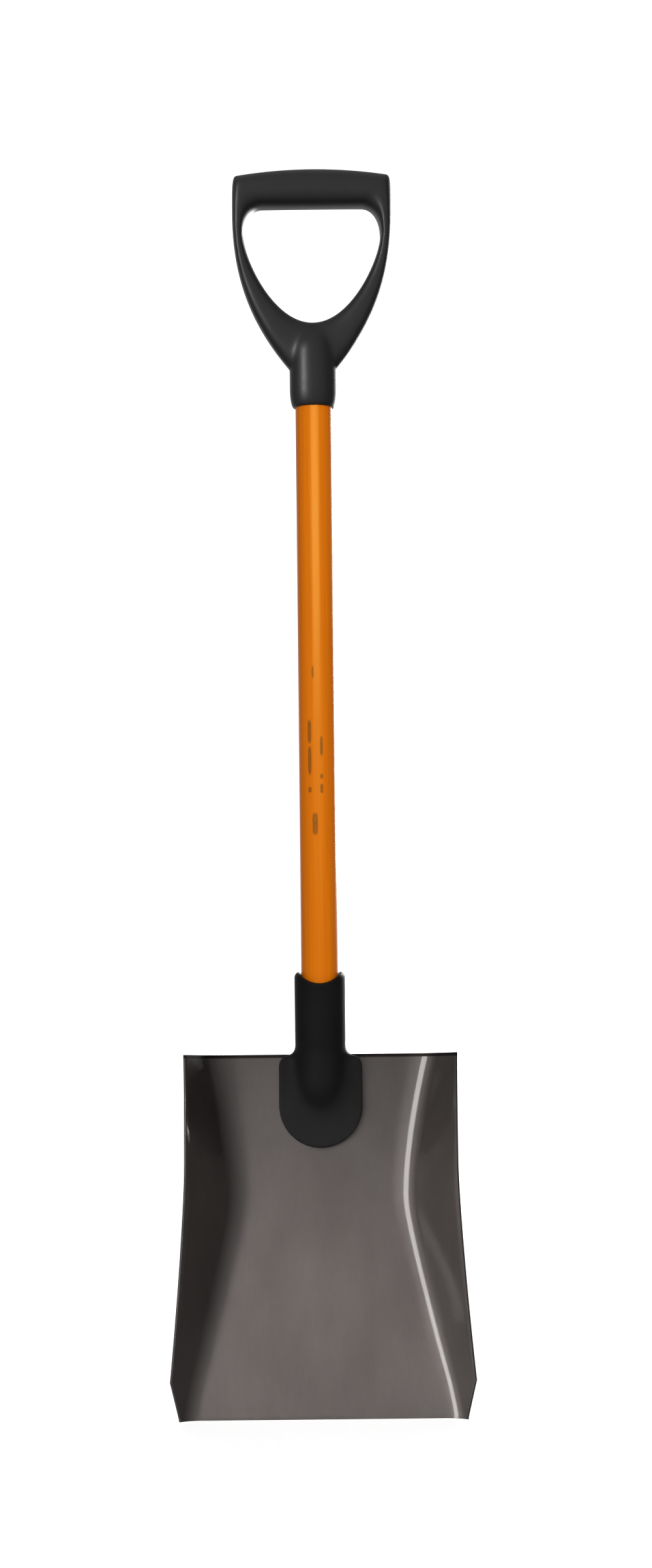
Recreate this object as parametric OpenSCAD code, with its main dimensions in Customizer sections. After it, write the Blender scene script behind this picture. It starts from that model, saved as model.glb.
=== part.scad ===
// Insulated square-mouth shovel: a pressed steel pan, an orange glass-fibre shaft, a black moulded
// D-grip and a black moulded cover over the steel socket.
// The origin is the middle of the blade's mouth. +Z runs parallel to the shaft, up to the grip,
// and the dish of the blade faces -Y.

/* [Blade] */
// Length of the straight lower floor, from the mouth up
floor_len = 154; // [120:2:190]
// Length of the gentle bend in the floor
bend_len = 45; // [30:1:70]
// Length of the straight upper floor, up to the top edge
upper_len = 92; // [80:1:110]
// Lean of the lower floor against the shaft
lift = 12; // [8:0.5:16]
// Lean of the upper floor against the shaft
upper_lift = 9; // [6:0.5:12]
// Thickness of the steel sheet
sheet_t = 2; // [1.6:0.1:2.4]
// Overall width at the corners of the mouth, its widest place
blade_w = 245; // [220:1:260]
// Width at the waist, its narrowest place
waist_w = 220; // [205:1:228]
// Width of the flat floor at the waist
floor_w = 138; // [120:1:150]
// Height of the side walls at the waist, square to the floor
wall_h = 45; // [30:1:55]
// Inner radius of the fold between floor and wall
fold_r = 16; // [10:1:20]

/* [Shaft] */
// Outer diameter of the glass-fibre tube
shaft_d = 30.4; // [29:0.1:31]
// Wall of the glass-fibre tube
shaft_wall = 3.2; // [2.5:0.1:4]
// Length of the tube, with the ends inside the socket and the grip
shaft_len = 611; // [450:1:800]
// Radial gap that holds the adhesive
glue_gap = 0.1; // [0.05:0.01:0.2]

/* [Socket] */
// Outer diameter of the steel socket tube
socket_d = 34; // [33:0.1:35]
// Outer diameter of the moulded cover
cover_d = 42; // [39:0.5:44]
// Height of the cover above the top edge of the blade
cover_rise = 69.5; // [50:0.5:90]
// Depth of the scallop in the cover's mouth
scallop = 8; // [4:0.5:10]
// Length of the cover's tongue on the blade
tongue_len = 76.5; // [68:0.5:82]
// Width of the cover's tongue
tongue_w = 69; // [64:1:76]
// Thickness of the front tongue
front_pad = 5; // [4.5:0.5:7]
// Thickness of the rear tongue
rear_pad = 8; // [7.5:0.5:10]

/* [Grip] */
// Overall width of the grip
grip_w = 132.4; // [120:0.2:140]
// Height of the grip from its lower rim to the top of the bar
grip_h = 197.5; // [190:0.5:210]
// Height of the bar at its middle
bar_h = 31; // [28:0.5:36]
// Depth of the bar, front to back
bar_depth = 33; // [28:0.5:38]
// Depth of the arms, front to back
arm_depth = 25; // [20:0.5:28]
// Height of the bottom of the hand hole over the lower rim
hole_z = 71; // [66:0.5:76]
// Greatest width of the hand hole
hole_w = 113.2; // [100:0.2:118]
// Outer diameter of the neck
neck_d = 39.4; // [37:0.2:41]

/* [Hidden] */
$fn = 64;
eps = 0.01;

// Floor of the blade in side view: straight, a gentle bend, then straight again.
blade_len = floor_len + bend_len + upper_len;
bend_r = bend_len / ((lift - upper_lift) * PI / 180);
floor_run = floor_len * sin(lift) + bend_r * (cos(upper_lift) - cos(lift))
    + upper_len * sin(upper_lift);
floor_rise = floor_len * cos(lift) + bend_r * (sin(lift) - sin(upper_lift))
    + upper_len * cos(upper_lift);
mouth_z = sheet_t * sin(lift);
top_z = mouth_z + floor_rise;
// The shaft's axis runs through the middle of the sheet at the top edge.
shaft_y = floor_run + sheet_t / 2;

// Outline of the blade, seen square to its floor, with v measured up from the mouth.
corner_v = 31;
corner_cut = 7;
waist_v = 204;
top_flare = 1.6;
narrow_v = 177;
floor_flare_bottom = 0.24;
floor_flare_top = 20.5;
wall_h_mouth = 8;
wall_h_corner = 20;
wall_h_top = 32;
n_stations = 34;
n_floor = 3;
n_fold = 6;

// Socket and cover.
socket_z = 266;
socket_top_z = top_z + cover_rise - 12;
cover_top_z = top_z + cover_rise;
strap_w = 38;
strap_t = 2.5;
strap_top = -12;
strap_bottom = -66;
rivet_d = 5;
rivet_head_d = 9;
rivet_head_h = 1.8;
strap_rivet_places = [[-11, -34], [11, -34], [0, -56]];
shaft_rivet_d = 5;
shaft_rivet_heights = [294, 322];
screw_d = 4;
screw_head_d = 7.5;
screw_head_h = 2.4;
screw_depth = 3.8;
screw_places = [[-26, -12], [26, -12], [-26, -48], [26, -48]];
tongue_corner_r = 10;
lip_h = 4.5;
lip_d = 32;
scallop_w = 36;

// Shaft and its filling.
bore_d = shaft_d - 2 * shaft_wall;
fit_d = shaft_d + 2 * glue_gap;
shaft_z = socket_z + 2;
shaft_top_z = shaft_z + shaft_len;
lower_plug_len = 70;
upper_plug_len = 42;

// Grip, with heights measured from its lower rim.
grip_z = shaft_top_z - 56;
grip_bore = 57;
rim_h = 15;
rim_d = 32.6;
n_top = 6;
n_corner = 8;
n_side = 20;
n_outer_side = 16;
n_ring = 20;
ring_power = 2.6;
grip_screw_z = 18;
grip_screw_d = 5;
grip_screw_len = 14;
grip_screw_head_d = 9;
grip_screw_head_h = 3;

black = [0.15, 0.14, 0.15];
steel = [0.62, 0.62, 0.60];

// ---- Shared functions ----

function lerp(a, b, t) = a + (b - a) * t;
function smooth(t) = let (c = min(max(t, 0), 1)) c * c * (3 - 2 * c);
function bezier(p, t) = pow(1 - t, 3) * p[0] + 3 * pow(1 - t, 2) * t * p[1]
    + 3 * (1 - t) * t * t * p[2] + t * t * t * p[3];

// Faces of a closed ring of sections: m stations of n points each, joined end to start.
function ring_faces(m, n) = [for (i = [0:m - 1], j = [0:n - 1])
    let (i2 = (i + 1) % m, j2 = (j + 1) % n)
    each [[i * n + j, i * n + j2, i2 * n + j2], [i * n + j, i2 * n + j2, i2 * n + j]]];

// Faces of a closed bar: the same sections with a flat cap at each end.
function bar_faces(m, n) = concat(
    [for (i = [0:m - 2], j = [0:n - 1])
        let (j2 = (j + 1) % n)
        each [[i * n + j, (i + 1) * n + j2, i * n + j2],
            [i * n + j, (i + 1) * n + j, (i + 1) * n + j2]]],
    [for (j = [0:n / 2 - 2]) each strip_cap(0, j, n, false)],
    [for (j = [0:n / 2 - 2]) each strip_cap((m - 1) * n, j, n, true)]);

// Two triangles of an end cap, across the sheet between its front and its back row.
function strip_cap(first, j, n, last) =
    let (a = first + j, b = first + j + 1, c = first + n - 2 - j, d = first + n - 1 - j)
    last ? [[a, c, b], [a, d, c]] : [[a, b, c], [a, c, d]];

// ---- Blade ----

// Angle of the floor against the vertical at v.
function floor_angle(v) = v <= floor_len ? lift
    : v >= floor_len + bend_len ? upper_lift
    : lerp(lift, upper_lift, (v - floor_len) / bend_len);

// Front face of the floor in side view at v, as [y, z].
function floor_at(v) =
    let (a = floor_angle(v), low = min(v, floor_len), high = max(v - floor_len - bend_len, 0))
    [low * sin(lift) + bend_r * (cos(a) - cos(lift)) + high * sin(upper_lift),
        mouth_z + low * cos(lift) + bend_r * (sin(lift) - sin(a)) + high * cos(upper_lift)];

// Half of the blade's overall width at v.
function rim_half(v) =
    let (corner = blade_w / 2, waist = waist_w / 2)
    v < corner_v ? lerp(corner - corner_cut, corner, v / corner_v)
    : v < waist_v ? lerp(waist, corner, pow((waist_v - v) / (waist_v - corner_v), 1.5))
    : waist + top_flare * pow((v - waist_v) / (blade_len - waist_v), 2);

// Half of the width of the flat floor at v, out to the corner of the fold.
function floor_half(v) =
    let (d = narrow_v - v, soft = 3.7)
    floor_w / 2 + (d > 0 ? norm([floor_flare_bottom * d, soft]) - soft
        : floor_flare_top * pow(-d / (blade_len - narrow_v), 1.5));

// Height of the wall at v, square to the floor.
function wall_at(v) = v < corner_v ? lerp(wall_h_mouth, wall_h_corner, v / corner_v)
    : v < waist_v ? lerp(wall_h_corner, wall_h, sin(90 * (v - corner_v) / (waist_v - corner_v)))
    : lerp(wall_h, wall_h_top, pow((v - waist_v) / (blade_len - waist_v), 2));

// Right half of a cross-section at v, from the middle out, as [u, w] with w towards the dish.
// back is 0 for the front face and the sheet's thickness for the back face.
function half_section(v, back) =
    let (rim = [rim_half(v) - 0.7 * sheet_t, wall_at(v)], foot = floor_half(v),
        lean = atan2(rim[1], rim[0] - foot), start = foot - fold_r * tan(lean / 2))
    concat(
        [for (i = [0:n_floor - 1]) [start * i / n_floor, -back]],
        [for (i = [0:n_fold]) let (a = lean * i / n_fold)
            [start + (fold_r + back) * sin(a), fold_r - (fold_r + back) * cos(a)]],
        [rim + back * [sin(lean), -cos(lean)]]);

function mirrored(half) = concat(
    [for (i = [len(half) - 1:-1:1]) [-half[i][0], half[i][1]]], half);

function reversed(list) = [for (i = [len(list) - 1:-1:0]) list[i]];

// Whole cross-section at v in space: front face left to right, then back face right to left.
function section_at(v) =
    let (f = floor_at(v), a = floor_angle(v),
        flat = concat(mirrored(half_section(v, 0)), reversed(mirrored(half_section(v, sheet_t)))))
    [for (p = flat) [p[0], f[0] - p[1] * cos(a), f[1] + p[1] * sin(a)]];

// Stations up the blade: one at the corner, evenly spaced below and above it.
stations = concat(
    [for (i = [0:3]) corner_v * i / 4],
    [for (i = [0:n_stations - 4]) lerp(corner_v, blade_len, i / (n_stations - 4))]);

module pan() {
    sections = [for (v = stations) section_at(v)];
    polyhedron([for (s = sections) each s], bar_faces(len(sections), len(sections[0])));
}

// Places children on the upper floor: origin at the middle of the top edge's front face,
// +Z up the floor and -Y square out of the dish.
module on_upper_floor() {
    translate([0, floor_run, top_z]) rotate([-upper_lift, 0, 0]) children();
}

// Places children on the shaft's axis at height z.
module on_shaft(z = 0) {
    translate([0, shaft_y, z]) children();
}

// A round bar square to the upper floor at [u, v], from depth y0 to depth y1.
module pin_through(place, d, y0, y1) {
    translate([place[0], y0, place[1]]) rotate([-90, 0, 0]) cylinder(d = d, h = y1 - y0);
}

module blade() {
    color([0.38, 0.35, 0.33]) difference() {
        pan();
        on_shaft(socket_z - 0.5) cylinder(d = socket_d, h = 60);
        on_upper_floor() {
            for (p = strap_rivet_places) pin_through(p, rivet_d, -1, sheet_t + 1);
            for (p = screw_places) pin_through(p, screw_d + 0.4, -1, sheet_t + 1);
        }
    }
}

// ---- Socket ----

module strap_plate() {
    translate([-strap_w / 2, sheet_t, strap_bottom])
        cube([strap_w, strap_t, strap_top - strap_bottom]);
}

module blade_socket() {
    color(steel) difference() {
        union() {
            on_shaft(socket_z) cylinder(d = socket_d, h = socket_top_z - socket_z);
            on_upper_floor() strap_plate();
        }
        on_shaft(shaft_z) cylinder(d = fit_d, h = 100);
        on_upper_floor()
            for (p = strap_rivet_places) pin_through(p, rivet_d, 0, sheet_t + strap_t + 1);
        for (z = shaft_rivet_heights) cross_pin(z, socket_d + 2);
    }
}

module cross_pin(z, len) {
    on_shaft(z) translate([-len / 2, 0, 0]) rotate([0, 90, 0]) cylinder(d = shaft_rivet_d, h = len);
}

module strap_rivets() {
    back = sheet_t + strap_t;
    color(steel) on_upper_floor() for (p = strap_rivet_places) {
        pin_through(p, rivet_d, 0, back);
        pin_through(p, rivet_head_d, -rivet_head_h, 0);
        pin_through(p, rivet_head_d, back, back + rivet_head_h);
    }
}

module shaft_rivets() {
    color(steel) for (z = shaft_rivet_heights) intersection() {
        cross_pin(z, socket_d + 2);
        on_shaft(z - shaft_rivet_d) cylinder(d = socket_d, h = 2 * shaft_rivet_d);
    }
}

// ---- Socket cover ----

// Outline of the tongue in the plane of the upper floor: round below, round corners on top.
module tongue_outline() {
    half = tongue_w / 2;
    r = tongue_corner_r;
    translate([0, half - tongue_len]) circle(r = half);
    translate([-half, half - tongue_len]) square([tongue_w, tongue_len - half - r]);
    translate([r - half, -r - eps]) square([tongue_w - 2 * r, r + eps]);
    for (side = [-1, 1]) translate([side * (half - r), -r]) circle(r = r);
}

// The tongue as a slab from depth y0 to depth y1 in the frame of the upper floor.
module tongue_slab(y0, y1) {
    on_upper_floor() translate([0, y1, 0]) rotate([90, 0, 0])
        linear_extrude(y1 - y0) tongue_outline();
}

// The round part of the cover: a tube with a domed lower end and a bevelled, scalloped mouth.
module cover_tube() {
    half = cover_d / 2;
    tube_h = cover_top_z - socket_z;
    scallop_r = (scallop_w * scallop_w / 4 + scallop * scallop) / (2 * scallop);
    difference() {
        on_shaft(socket_z) {
            rotate_extrude() polygon([[0, 0], [half, 0], [half, tube_h - lip_h],
                [lip_d / 2, tube_h], [0, tube_h]]);
            sphere(r = half);
        }
        on_shaft(cover_top_z - scallop + scallop_r) rotate([90, 0, 0])
            cylinder(r = scallop_r, h = cover_d + 2, center = true, $fn = 128);
        on_shaft(socket_z) cylinder(d = socket_d, h = socket_top_z - socket_z);
        on_shaft(shaft_z) cylinder(d = fit_d, h = 100);
    }
}

// Everything behind the front half: behind the blade's front face, and behind the shaft's axis.
module behind_front() {
    on_upper_floor() translate([-60, 0, -120]) cube([120, 80, 120]);
    on_shaft(top_z - 10) translate([-60, 0, 0]) cube([120, 80, 120]);
}

// Everything before the rear half: before the blade's back face, and before the shaft's axis.
module before_rear() {
    on_upper_floor() translate([-60, sheet_t - 80, -120]) cube([120, 80, 120]);
    on_shaft(top_z - sheet_t * sin(upper_lift)) translate([-60, -80, 0]) cube([120, 80, 120]);
}

module socket_cover_front() {
    color(black) difference() {
        union() {
            cover_tube();
            tongue_slab(-front_pad, 0);
        }
        on_shaft(socket_z) cylinder(d = socket_d, h = 30);
        behind_front();
        on_upper_floor() {
            for (p = strap_rivet_places) pin_through(p, rivet_head_d + 1, -rivet_head_h - 0.4, 1);
            for (p = screw_places) pin_through(p, screw_d, -screw_depth - 0.2, 1);
        }
    }
}

module socket_cover_rear() {
    face = sheet_t + rear_pad;
    pocket = sheet_t + strap_t + rivet_head_h + 0.4;
    color(black) difference() {
        union() {
            cover_tube();
            tongue_slab(sheet_t, face);
        }
        on_shaft(socket_z) cylinder(d = socket_d, h = 30);
        before_rear();
        on_upper_floor() {
            translate([-strap_w / 2 - 0.5, 0, strap_bottom - 0.5])
                cube([strap_w + 1, pocket, strap_top - strap_bottom + 1]);
            for (p = screw_places) pin_through(p, screw_d + 0.4, 0, face + 20);
        }
    }
}

module cover_screws() {
    face = sheet_t + rear_pad;
    color(steel) on_upper_floor() for (p = screw_places) {
        pin_through(p, screw_d, -screw_depth, face);
        pin_through(p, screw_head_d, face, face + screw_head_h);
    }
}

// ---- Shaft ----

// A round bar across the back of the neck, from the axis outward, at the grip screw's height.
module grip_screw_bar(d, y0, y1) {
    on_shaft(grip_z + grip_screw_z) translate([0, y0, 0]) rotate([-90, 0, 0])
        cylinder(d = d, h = y1 - y0);
}

module shaft_holes() {
    for (z = shaft_rivet_heights) cross_pin(z, socket_d + 2);
    grip_screw_bar(grip_screw_d, neck_d / 2 - grip_screw_head_h - grip_screw_len, neck_d);
}

module shaft_tube() {
    color([0.91, 0.44, 0.03]) difference() {
        on_shaft(shaft_z) cylinder(d = shaft_d, h = shaft_len);
        on_shaft(shaft_z - 1) cylinder(d = bore_d, h = shaft_len + 2);
        shaft_holes();
    }
}

module shaft_core() {
    color([0.93, 0.90, 0.78]) on_shaft(shaft_z + lower_plug_len)
        cylinder(d = bore_d, h = shaft_len - lower_plug_len - upper_plug_len);
}

module shaft_plug_lower() {
    color([0.85, 0.84, 0.80]) difference() {
        on_shaft(shaft_z) cylinder(d = bore_d, h = lower_plug_len);
        shaft_holes();
    }
}

module shaft_plug_upper() {
    color([0.85, 0.84, 0.80]) difference() {
        on_shaft(shaft_top_z - upper_plug_len) cylinder(d = bore_d, h = upper_plug_len);
        shaft_holes();
    }
}

// ---- Grip ----

// Right half of the hand hole's outline, as [x, z] from the middle of its top round to the
// middle of its bottom.
function hole_outline() =
    let (top = grip_h - bar_h, half = hole_w / 2, flat = half - 15.8, side_z = top - 24.5,
        corner = [[flat, top], [flat + 9, top], [half, top - 9.5], [half, side_z]],
        side = [[half, side_z], [half, side_z - 17], [0.58 * half, hole_z], [0, hole_z]])
    concat(
        [for (i = [0:n_top - 1]) [flat * i / n_top, top]],
        [for (i = [0:n_corner - 1]) bezier(corner, i / n_corner)],
        [for (i = [0:n_side]) bezier(side, i / n_side)]);

// Right half of the grip's outer outline, with as many points as the hole's.
function grip_outline() =
    let (half = grip_w / 2, shoulder = [half - 3.5, grip_h - 5], side_z = grip_h - 40,
        neck = [neck_d / 2, 32],
        corner = [shoulder, [half - 0.4, grip_h - 5.5], [half, grip_h - 10], [half, side_z]],
        side = [[half, side_z], [half - 0.4, side_z - 50], [neck[0] + 31, 69], neck])
    concat(
        [for (i = [0:n_top - 1]) let (t = i / n_top)
            [shoulder[0] * t, grip_h - (grip_h - shoulder[1]) * t * t]],
        [for (i = [0:n_corner - 1]) bezier(corner, i / n_corner)],
        [for (i = [0:n_side]) i <= n_outer_side ? bezier(side, i / n_outer_side)
            : lerp(neck, [0, 32], (i - n_outer_side) / (n_side - n_outer_side))]);

function full_loop(half) = concat(half,
    [for (i = [len(half) - 2:-1:1]) [-half[i][0], half[i][1]]]);

// Half of the grip's depth at height z of the hole's outline.
function grip_half_depth(z) = lerp(arm_depth, bar_depth, smooth((z - 110) / 55)) / 2;

function soft_power(x) = sign(x) * pow(abs(x), 2 / ring_power);

// Section of the ring between the hole's point a and the outer point b: a soft rectangle.
function ring_section(a, b) =
    let (middle = (a + b) / 2, reach = (b - a) / 2, d = grip_half_depth(a[1]))
    [for (j = [0:n_ring - 1]) let (phi = 360 * j / n_ring,
            p = middle + reach * soft_power(cos(phi)))
        [p[0], d * soft_power(sin(phi)), p[1]]];

module grip_ring() {
    inner = full_loop(hole_outline());
    outer = full_loop(grip_outline());
    points = [for (i = [0:len(inner) - 1]) each ring_section(inner[i], outer[i])];
    polyhedron(points, ring_faces(len(inner), n_ring));
}

// The neck: a round sleeve whose lower rim rolls in towards the shaft.
module neck() {
    r = neck_d / 2;
    roll = r - rim_d / 2;
    rotate_extrude() polygon(concat(
        [[0, 0]],
        [for (a = [0:15:90]) [r - roll * (1 - sin(a)), rim_h * (1 - cos(a))]],
        [[r, 50], [0, 50]]));
    translate([0, 0, 50]) sphere(d = neck_d);
}

module d_grip() {
    color(black) difference() {
        on_shaft(grip_z) {
            grip_ring();
            neck();
        }
        on_shaft(grip_z - 1) cylinder(d = fit_d, h = grip_bore + 1);
        grip_screw_bar(grip_screw_d + 0.2, 0, neck_d);
        grip_screw_bar(grip_screw_head_d + 0.4, neck_d / 2 - grip_screw_head_h, neck_d);
    }
}

module grip_screw() {
    seat = neck_d / 2 - grip_screw_head_h;
    color(steel) {
        grip_screw_bar(grip_screw_d, seat - grip_screw_len, seat);
        grip_screw_bar(grip_screw_head_d, seat, seat + grip_screw_head_h - 0.4);
    }
}

blade();
blade_socket();
strap_rivets();
shaft_rivets();
socket_cover_front();
socket_cover_rear();
cover_screws();
shaft_tube();
shaft_core();
shaft_plug_lower();
shaft_plug_upper();
d_grip();
grip_screw();
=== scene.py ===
"""Looks of the insulated square-mouth shovel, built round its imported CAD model.

All shapes are in metres in the frame of the CAD model: the origin is the middle of the blade's
mouth, +Z runs parallel to the shaft, and the dish of the blade faces -Y.
"""
import math

import bmesh
import bpy
from mathutils import Matrix, Quaternion, Vector
from mathutils.geometry import interpolate_bezier


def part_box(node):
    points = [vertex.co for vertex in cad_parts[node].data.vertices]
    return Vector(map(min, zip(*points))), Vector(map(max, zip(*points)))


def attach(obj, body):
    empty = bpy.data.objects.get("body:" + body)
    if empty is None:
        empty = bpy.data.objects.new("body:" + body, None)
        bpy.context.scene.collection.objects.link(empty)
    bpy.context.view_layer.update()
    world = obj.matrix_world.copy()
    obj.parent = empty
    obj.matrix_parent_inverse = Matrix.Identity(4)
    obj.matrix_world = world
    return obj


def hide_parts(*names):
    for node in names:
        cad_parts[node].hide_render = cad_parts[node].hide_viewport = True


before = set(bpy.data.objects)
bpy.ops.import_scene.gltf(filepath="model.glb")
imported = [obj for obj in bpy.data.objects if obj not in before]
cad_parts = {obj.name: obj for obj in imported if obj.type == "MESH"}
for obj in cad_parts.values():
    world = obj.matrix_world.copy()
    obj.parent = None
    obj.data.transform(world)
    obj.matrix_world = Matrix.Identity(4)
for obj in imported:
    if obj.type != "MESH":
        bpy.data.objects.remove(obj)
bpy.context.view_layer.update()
MM = 0.001

# Places taken from the frame.
SHAFT_LO, SHAFT_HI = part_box("shaft_tube")
GRIP_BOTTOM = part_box("d_grip")[0].z
COVER_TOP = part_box("socket_cover_front")[1].z
SOCKET_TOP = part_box("blade_socket")[1].z
AXIS_Y = (SHAFT_LO.y + SHAFT_HI.y) / 2
SHAFT_R = (SHAFT_HI.x - SHAFT_LO.x) / 2

# Inner end of a lathe's profile: a hair off the axis, where the points then merge into one.
ON_AXIS = 1e-7
# How far a cutting tool reaches past the surface that it cuts.
PAST = 1 * MM

# Driving dimensions of the blade, as in the CAD model. Only the folds are softer than there.
FLOOR_LEN = 154 * MM
BEND_LEN = 45 * MM
UPPER_LEN = 92 * MM
LIFT = math.radians(12)
UPPER_LIFT = math.radians(9)
SHEET_T = 2 * MM
BLADE_HALF = 122.5 * MM
WAIST_HALF = 110 * MM
FLOOR_HALF = 69 * MM
WALL_H = 45 * MM
WALL_H_MOUTH = 8 * MM
WALL_H_CORNER = 20 * MM
WALL_H_TOP = 32 * MM
FOLD_R_MOUTH = 22 * MM
FOLD_R = 28 * MM
FOLD_R_TOP = 34 * MM
CORNER_V = 31 * MM
CORNER_CUT = 7 * MM
WAIST_V = 204 * MM
NARROW_V = 177 * MM
TOP_FLARE = 1.6 * MM
FLOOR_FLARE_TOP = 20.5 * MM
FLOOR_FLARE_SLOPE = 0.24
FLOOR_FLARE_SOFT = 3.7 * MM
RIM_INSET = 0.7 * SHEET_T
EDGE_ROUND = 0.55 * MM
# Width of the painted shade along the blade's top edge, and the width over which it fades.
EDGE_SHADE_BAND = 3.4 * MM
EDGE_SHADE_FADE = 1.2 * MM

BLADE_LEN = FLOOR_LEN + BEND_LEN + UPPER_LEN
BEND_R = BEND_LEN / (LIFT - UPPER_LIFT)
MOUTH_Z = SHEET_T * math.sin(LIFT)

# Socket cover.
SOCKET_Z = SHAFT_LO.z - 2 * MM
SOCKET_R = 17 * MM
SOCKET_GAP = 0.5 * MM
COVER_R = 21 * MM
LIP_R = 16 * MM
LIP_H = 4.5 * MM
SCALLOP = 8 * MM
SCALLOP_HALF = 18 * MM
TONGUE_LEN = 76.5 * MM
TONGUE_HALF = 34.5 * MM
TONGUE_CORNER_R = 10 * MM
DOME_H = 30 * MM
FRONT_PAD = 5 * MM
REAR_PAD = 8 * MM
COVER_VOXEL = 0.8 * MM
COVER_MELT = 420
SEAM_HALF = 0.12 * MM
SEAM_DROP = 10 * MM
FIT_R = SHAFT_R + 0.1 * MM
SCREW_PLACES = [(-26 * MM, -12 * MM), (26 * MM, -12 * MM), (-26 * MM, -48 * MM), (26 * MM, -48 * MM)]
SCREW_R = 2 * MM
SCREW_GAP = 0.2 * MM
SCREW_HEAD_R = 3.75 * MM
SCREW_HEAD_H = 2.4 * MM
SCREW_DEPTH = 3.8 * MM
RIVET_PLACES = [(-11 * MM, -34 * MM), (11 * MM, -34 * MM), (0, -56 * MM)]
RIVET_R = 2.5 * MM

# Shaft.
TUBE_WALL = 3.2 * MM
TUBE_CHAMFER = 0.6 * MM

# Plain bars printed on the front of the shaft: x, z, half width and half height.
PRINTED_BARS = [(-3.0 * MM, 603 * MM, 0.8 * MM, 5 * MM), (-6.2 * MM, 554 * MM, 1.5 * MM, 9.5 * MM),
                (-6.2 * MM, 530 * MM, 1.5 * MM, 11.5 * MM), (-6.2 * MM, 506 * MM, 1.3 * MM, 2.2 * MM),
                (3.5 * MM, 542 * MM, 1.2 * MM, 8 * MM), (3.5 * MM, 517 * MM, 1.2 * MM, 2 * MM),
                (3.5 * MM, 507 * MM, 1.2 * MM, 3.8 * MM), (-2.2 * MM, 478 * MM, 2.3 * MM, 9 * MM)]

# Grip, with heights measured from its lower rim.
GRIP_HALF = 66.2 * MM
GRIP_H = 197.5 * MM
BAR_H = 31 * MM
BAR_DEPTH = 33 * MM
ARM_DEPTH = 25 * MM
HOLE_Z = 71 * MM
HOLE_HALF = 56.6 * MM
NECK_R = 19.7 * MM
RIM_R = 16.3 * MM
RIM_H = 15 * MM
GRIP_BORE = 57 * MM
NECK_RISE = 44 * MM
CROWN_H = 25 * MM
GRIP_SCREW_Z = 18 * MM
GRIP_SCREW_R = 2.5 * MM
GRIP_SCREW_HEAD_R = 4.5 * MM
GRIP_SCREW_HEAD_H = 2.6 * MM
GRIP_SCREW_SINK = 3 * MM
GRIP_VOXEL = 0.9 * MM
GRIP_MELT = 120

# Camera: its frame is VIEW_HEIGHT high at the shaft.
VIEW_HEIGHT = 1.304
VIEW_DISTANCE = 1.6
VIEW_X = 7.0 * MM
VIEW_Z = 0.5106
VIEW_ROLL = 0.60

# Sweep.
SWEEP_R = 9.0
SWEEP_CURVE_R = 4.0
SWEEP_HEIGHT = 14.0
SWEEP_DEPTH = 0.02
SWEEP_DROP = 0.5 * MM

# How far lamps stand from the shaft, unless their place says otherwise.
LAMP_DISTANCE = 2.4


# ---- Mesh helpers ----

def make_object(name, verts, faces):
    """A new mesh object from points and faces, with its normals turned outward."""
    mesh = bpy.data.meshes.new(name)
    mesh.from_pydata([tuple(v) for v in verts], [], faces)
    bm = bmesh.new()
    bm.from_mesh(mesh)
    bmesh.ops.remove_doubles(bm, verts=bm.verts, dist=1e-6)
    bmesh.ops.recalc_face_normals(bm, faces=bm.faces)
    bm.to_mesh(mesh)
    bm.free()
    obj = bpy.data.objects.new(name, mesh)
    bpy.context.scene.collection.objects.link(obj)
    return obj


def apply_modifiers(obj):
    """Turns what the modifiers show into the object's own mesh."""
    bpy.context.view_layer.update()
    depsgraph = bpy.context.evaluated_depsgraph_get()
    mesh = bpy.data.meshes.new_from_object(obj.evaluated_get(depsgraph))
    obj.modifiers.clear()
    obj.data = mesh
    return obj


def modify(obj, kind, **settings):
    """Adds one modifier with these settings and applies it."""
    modifier = obj.modifiers.new(kind.lower(), kind)
    for key, value in settings.items():
        setattr(modifier, key, value)
    return apply_modifiers(obj)


def combine(obj, tool, operation):
    """Adds the tool's solid to obj or cuts it away, and removes the tool."""
    modify(obj, "BOOLEAN", operation=operation, object=tool, solver="EXACT")
    bpy.data.objects.remove(tool)
    return obj


def shade_smooth(obj, angle=35):
    """Smooth shading, with edges sharper than angle kept crisp."""
    mesh = obj.data
    mesh.polygons.foreach_set("use_smooth", [True] * len(mesh.polygons))
    mesh.set_sharp_from_angle(angle=math.radians(angle))
    return obj


def lathe(name, profile, segments=96):
    """A solid of revolution about Z from a closed profile of [radius, z] points."""
    n = len(profile)
    verts, faces = [], []
    for i in range(segments):
        a = 2 * math.pi * i / segments
        verts += [(r * math.cos(a), r * math.sin(a), z) for r, z in profile]
    for i in range(segments):
        i2 = (i + 1) % segments
        for j in range(n):
            j2 = (j + 1) % n
            faces.append((i * n + j, i2 * n + j, i2 * n + j2, i * n + j2))
    return make_object(name, verts, faces)


def cylinder(name, radius, z0, z1, segments=96):
    """A round bar about Z."""
    return lathe(name, [(ON_AXIS, z0), (radius, z0), (radius, z1), (ON_AXIS, z1)], segments)


def quarter(n, start):
    """Angles of n steps through a quarter turn from start degrees, both ends included."""
    return [math.radians(start + 90 * i / n) for i in range(n + 1)]


def prism(name, outline, y0, y1):
    """A flat outline of [x, z] points, made solid from y0 to y1."""
    n = len(outline)
    verts = [(x, y0, z) for x, z in outline] + [(x, y1, z) for x, z in outline]
    faces = [tuple(range(n)), tuple(range(2 * n - 1, n - 1, -1))]
    faces += [(i, n + i, n + (i + 1) % n, (i + 1) % n) for i in range(n)]
    return make_object(name, verts, faces)


def moved(obj, matrix):
    """obj with its mesh transformed, and its origin left in place."""
    obj.data.transform(matrix)
    return obj


def on_shaft(obj, z=0.0):
    """obj moved from the frame's own axis onto the shaft's, and up by z."""
    return moved(obj, Matrix.Translation((0, AXIS_Y, z)))


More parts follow.
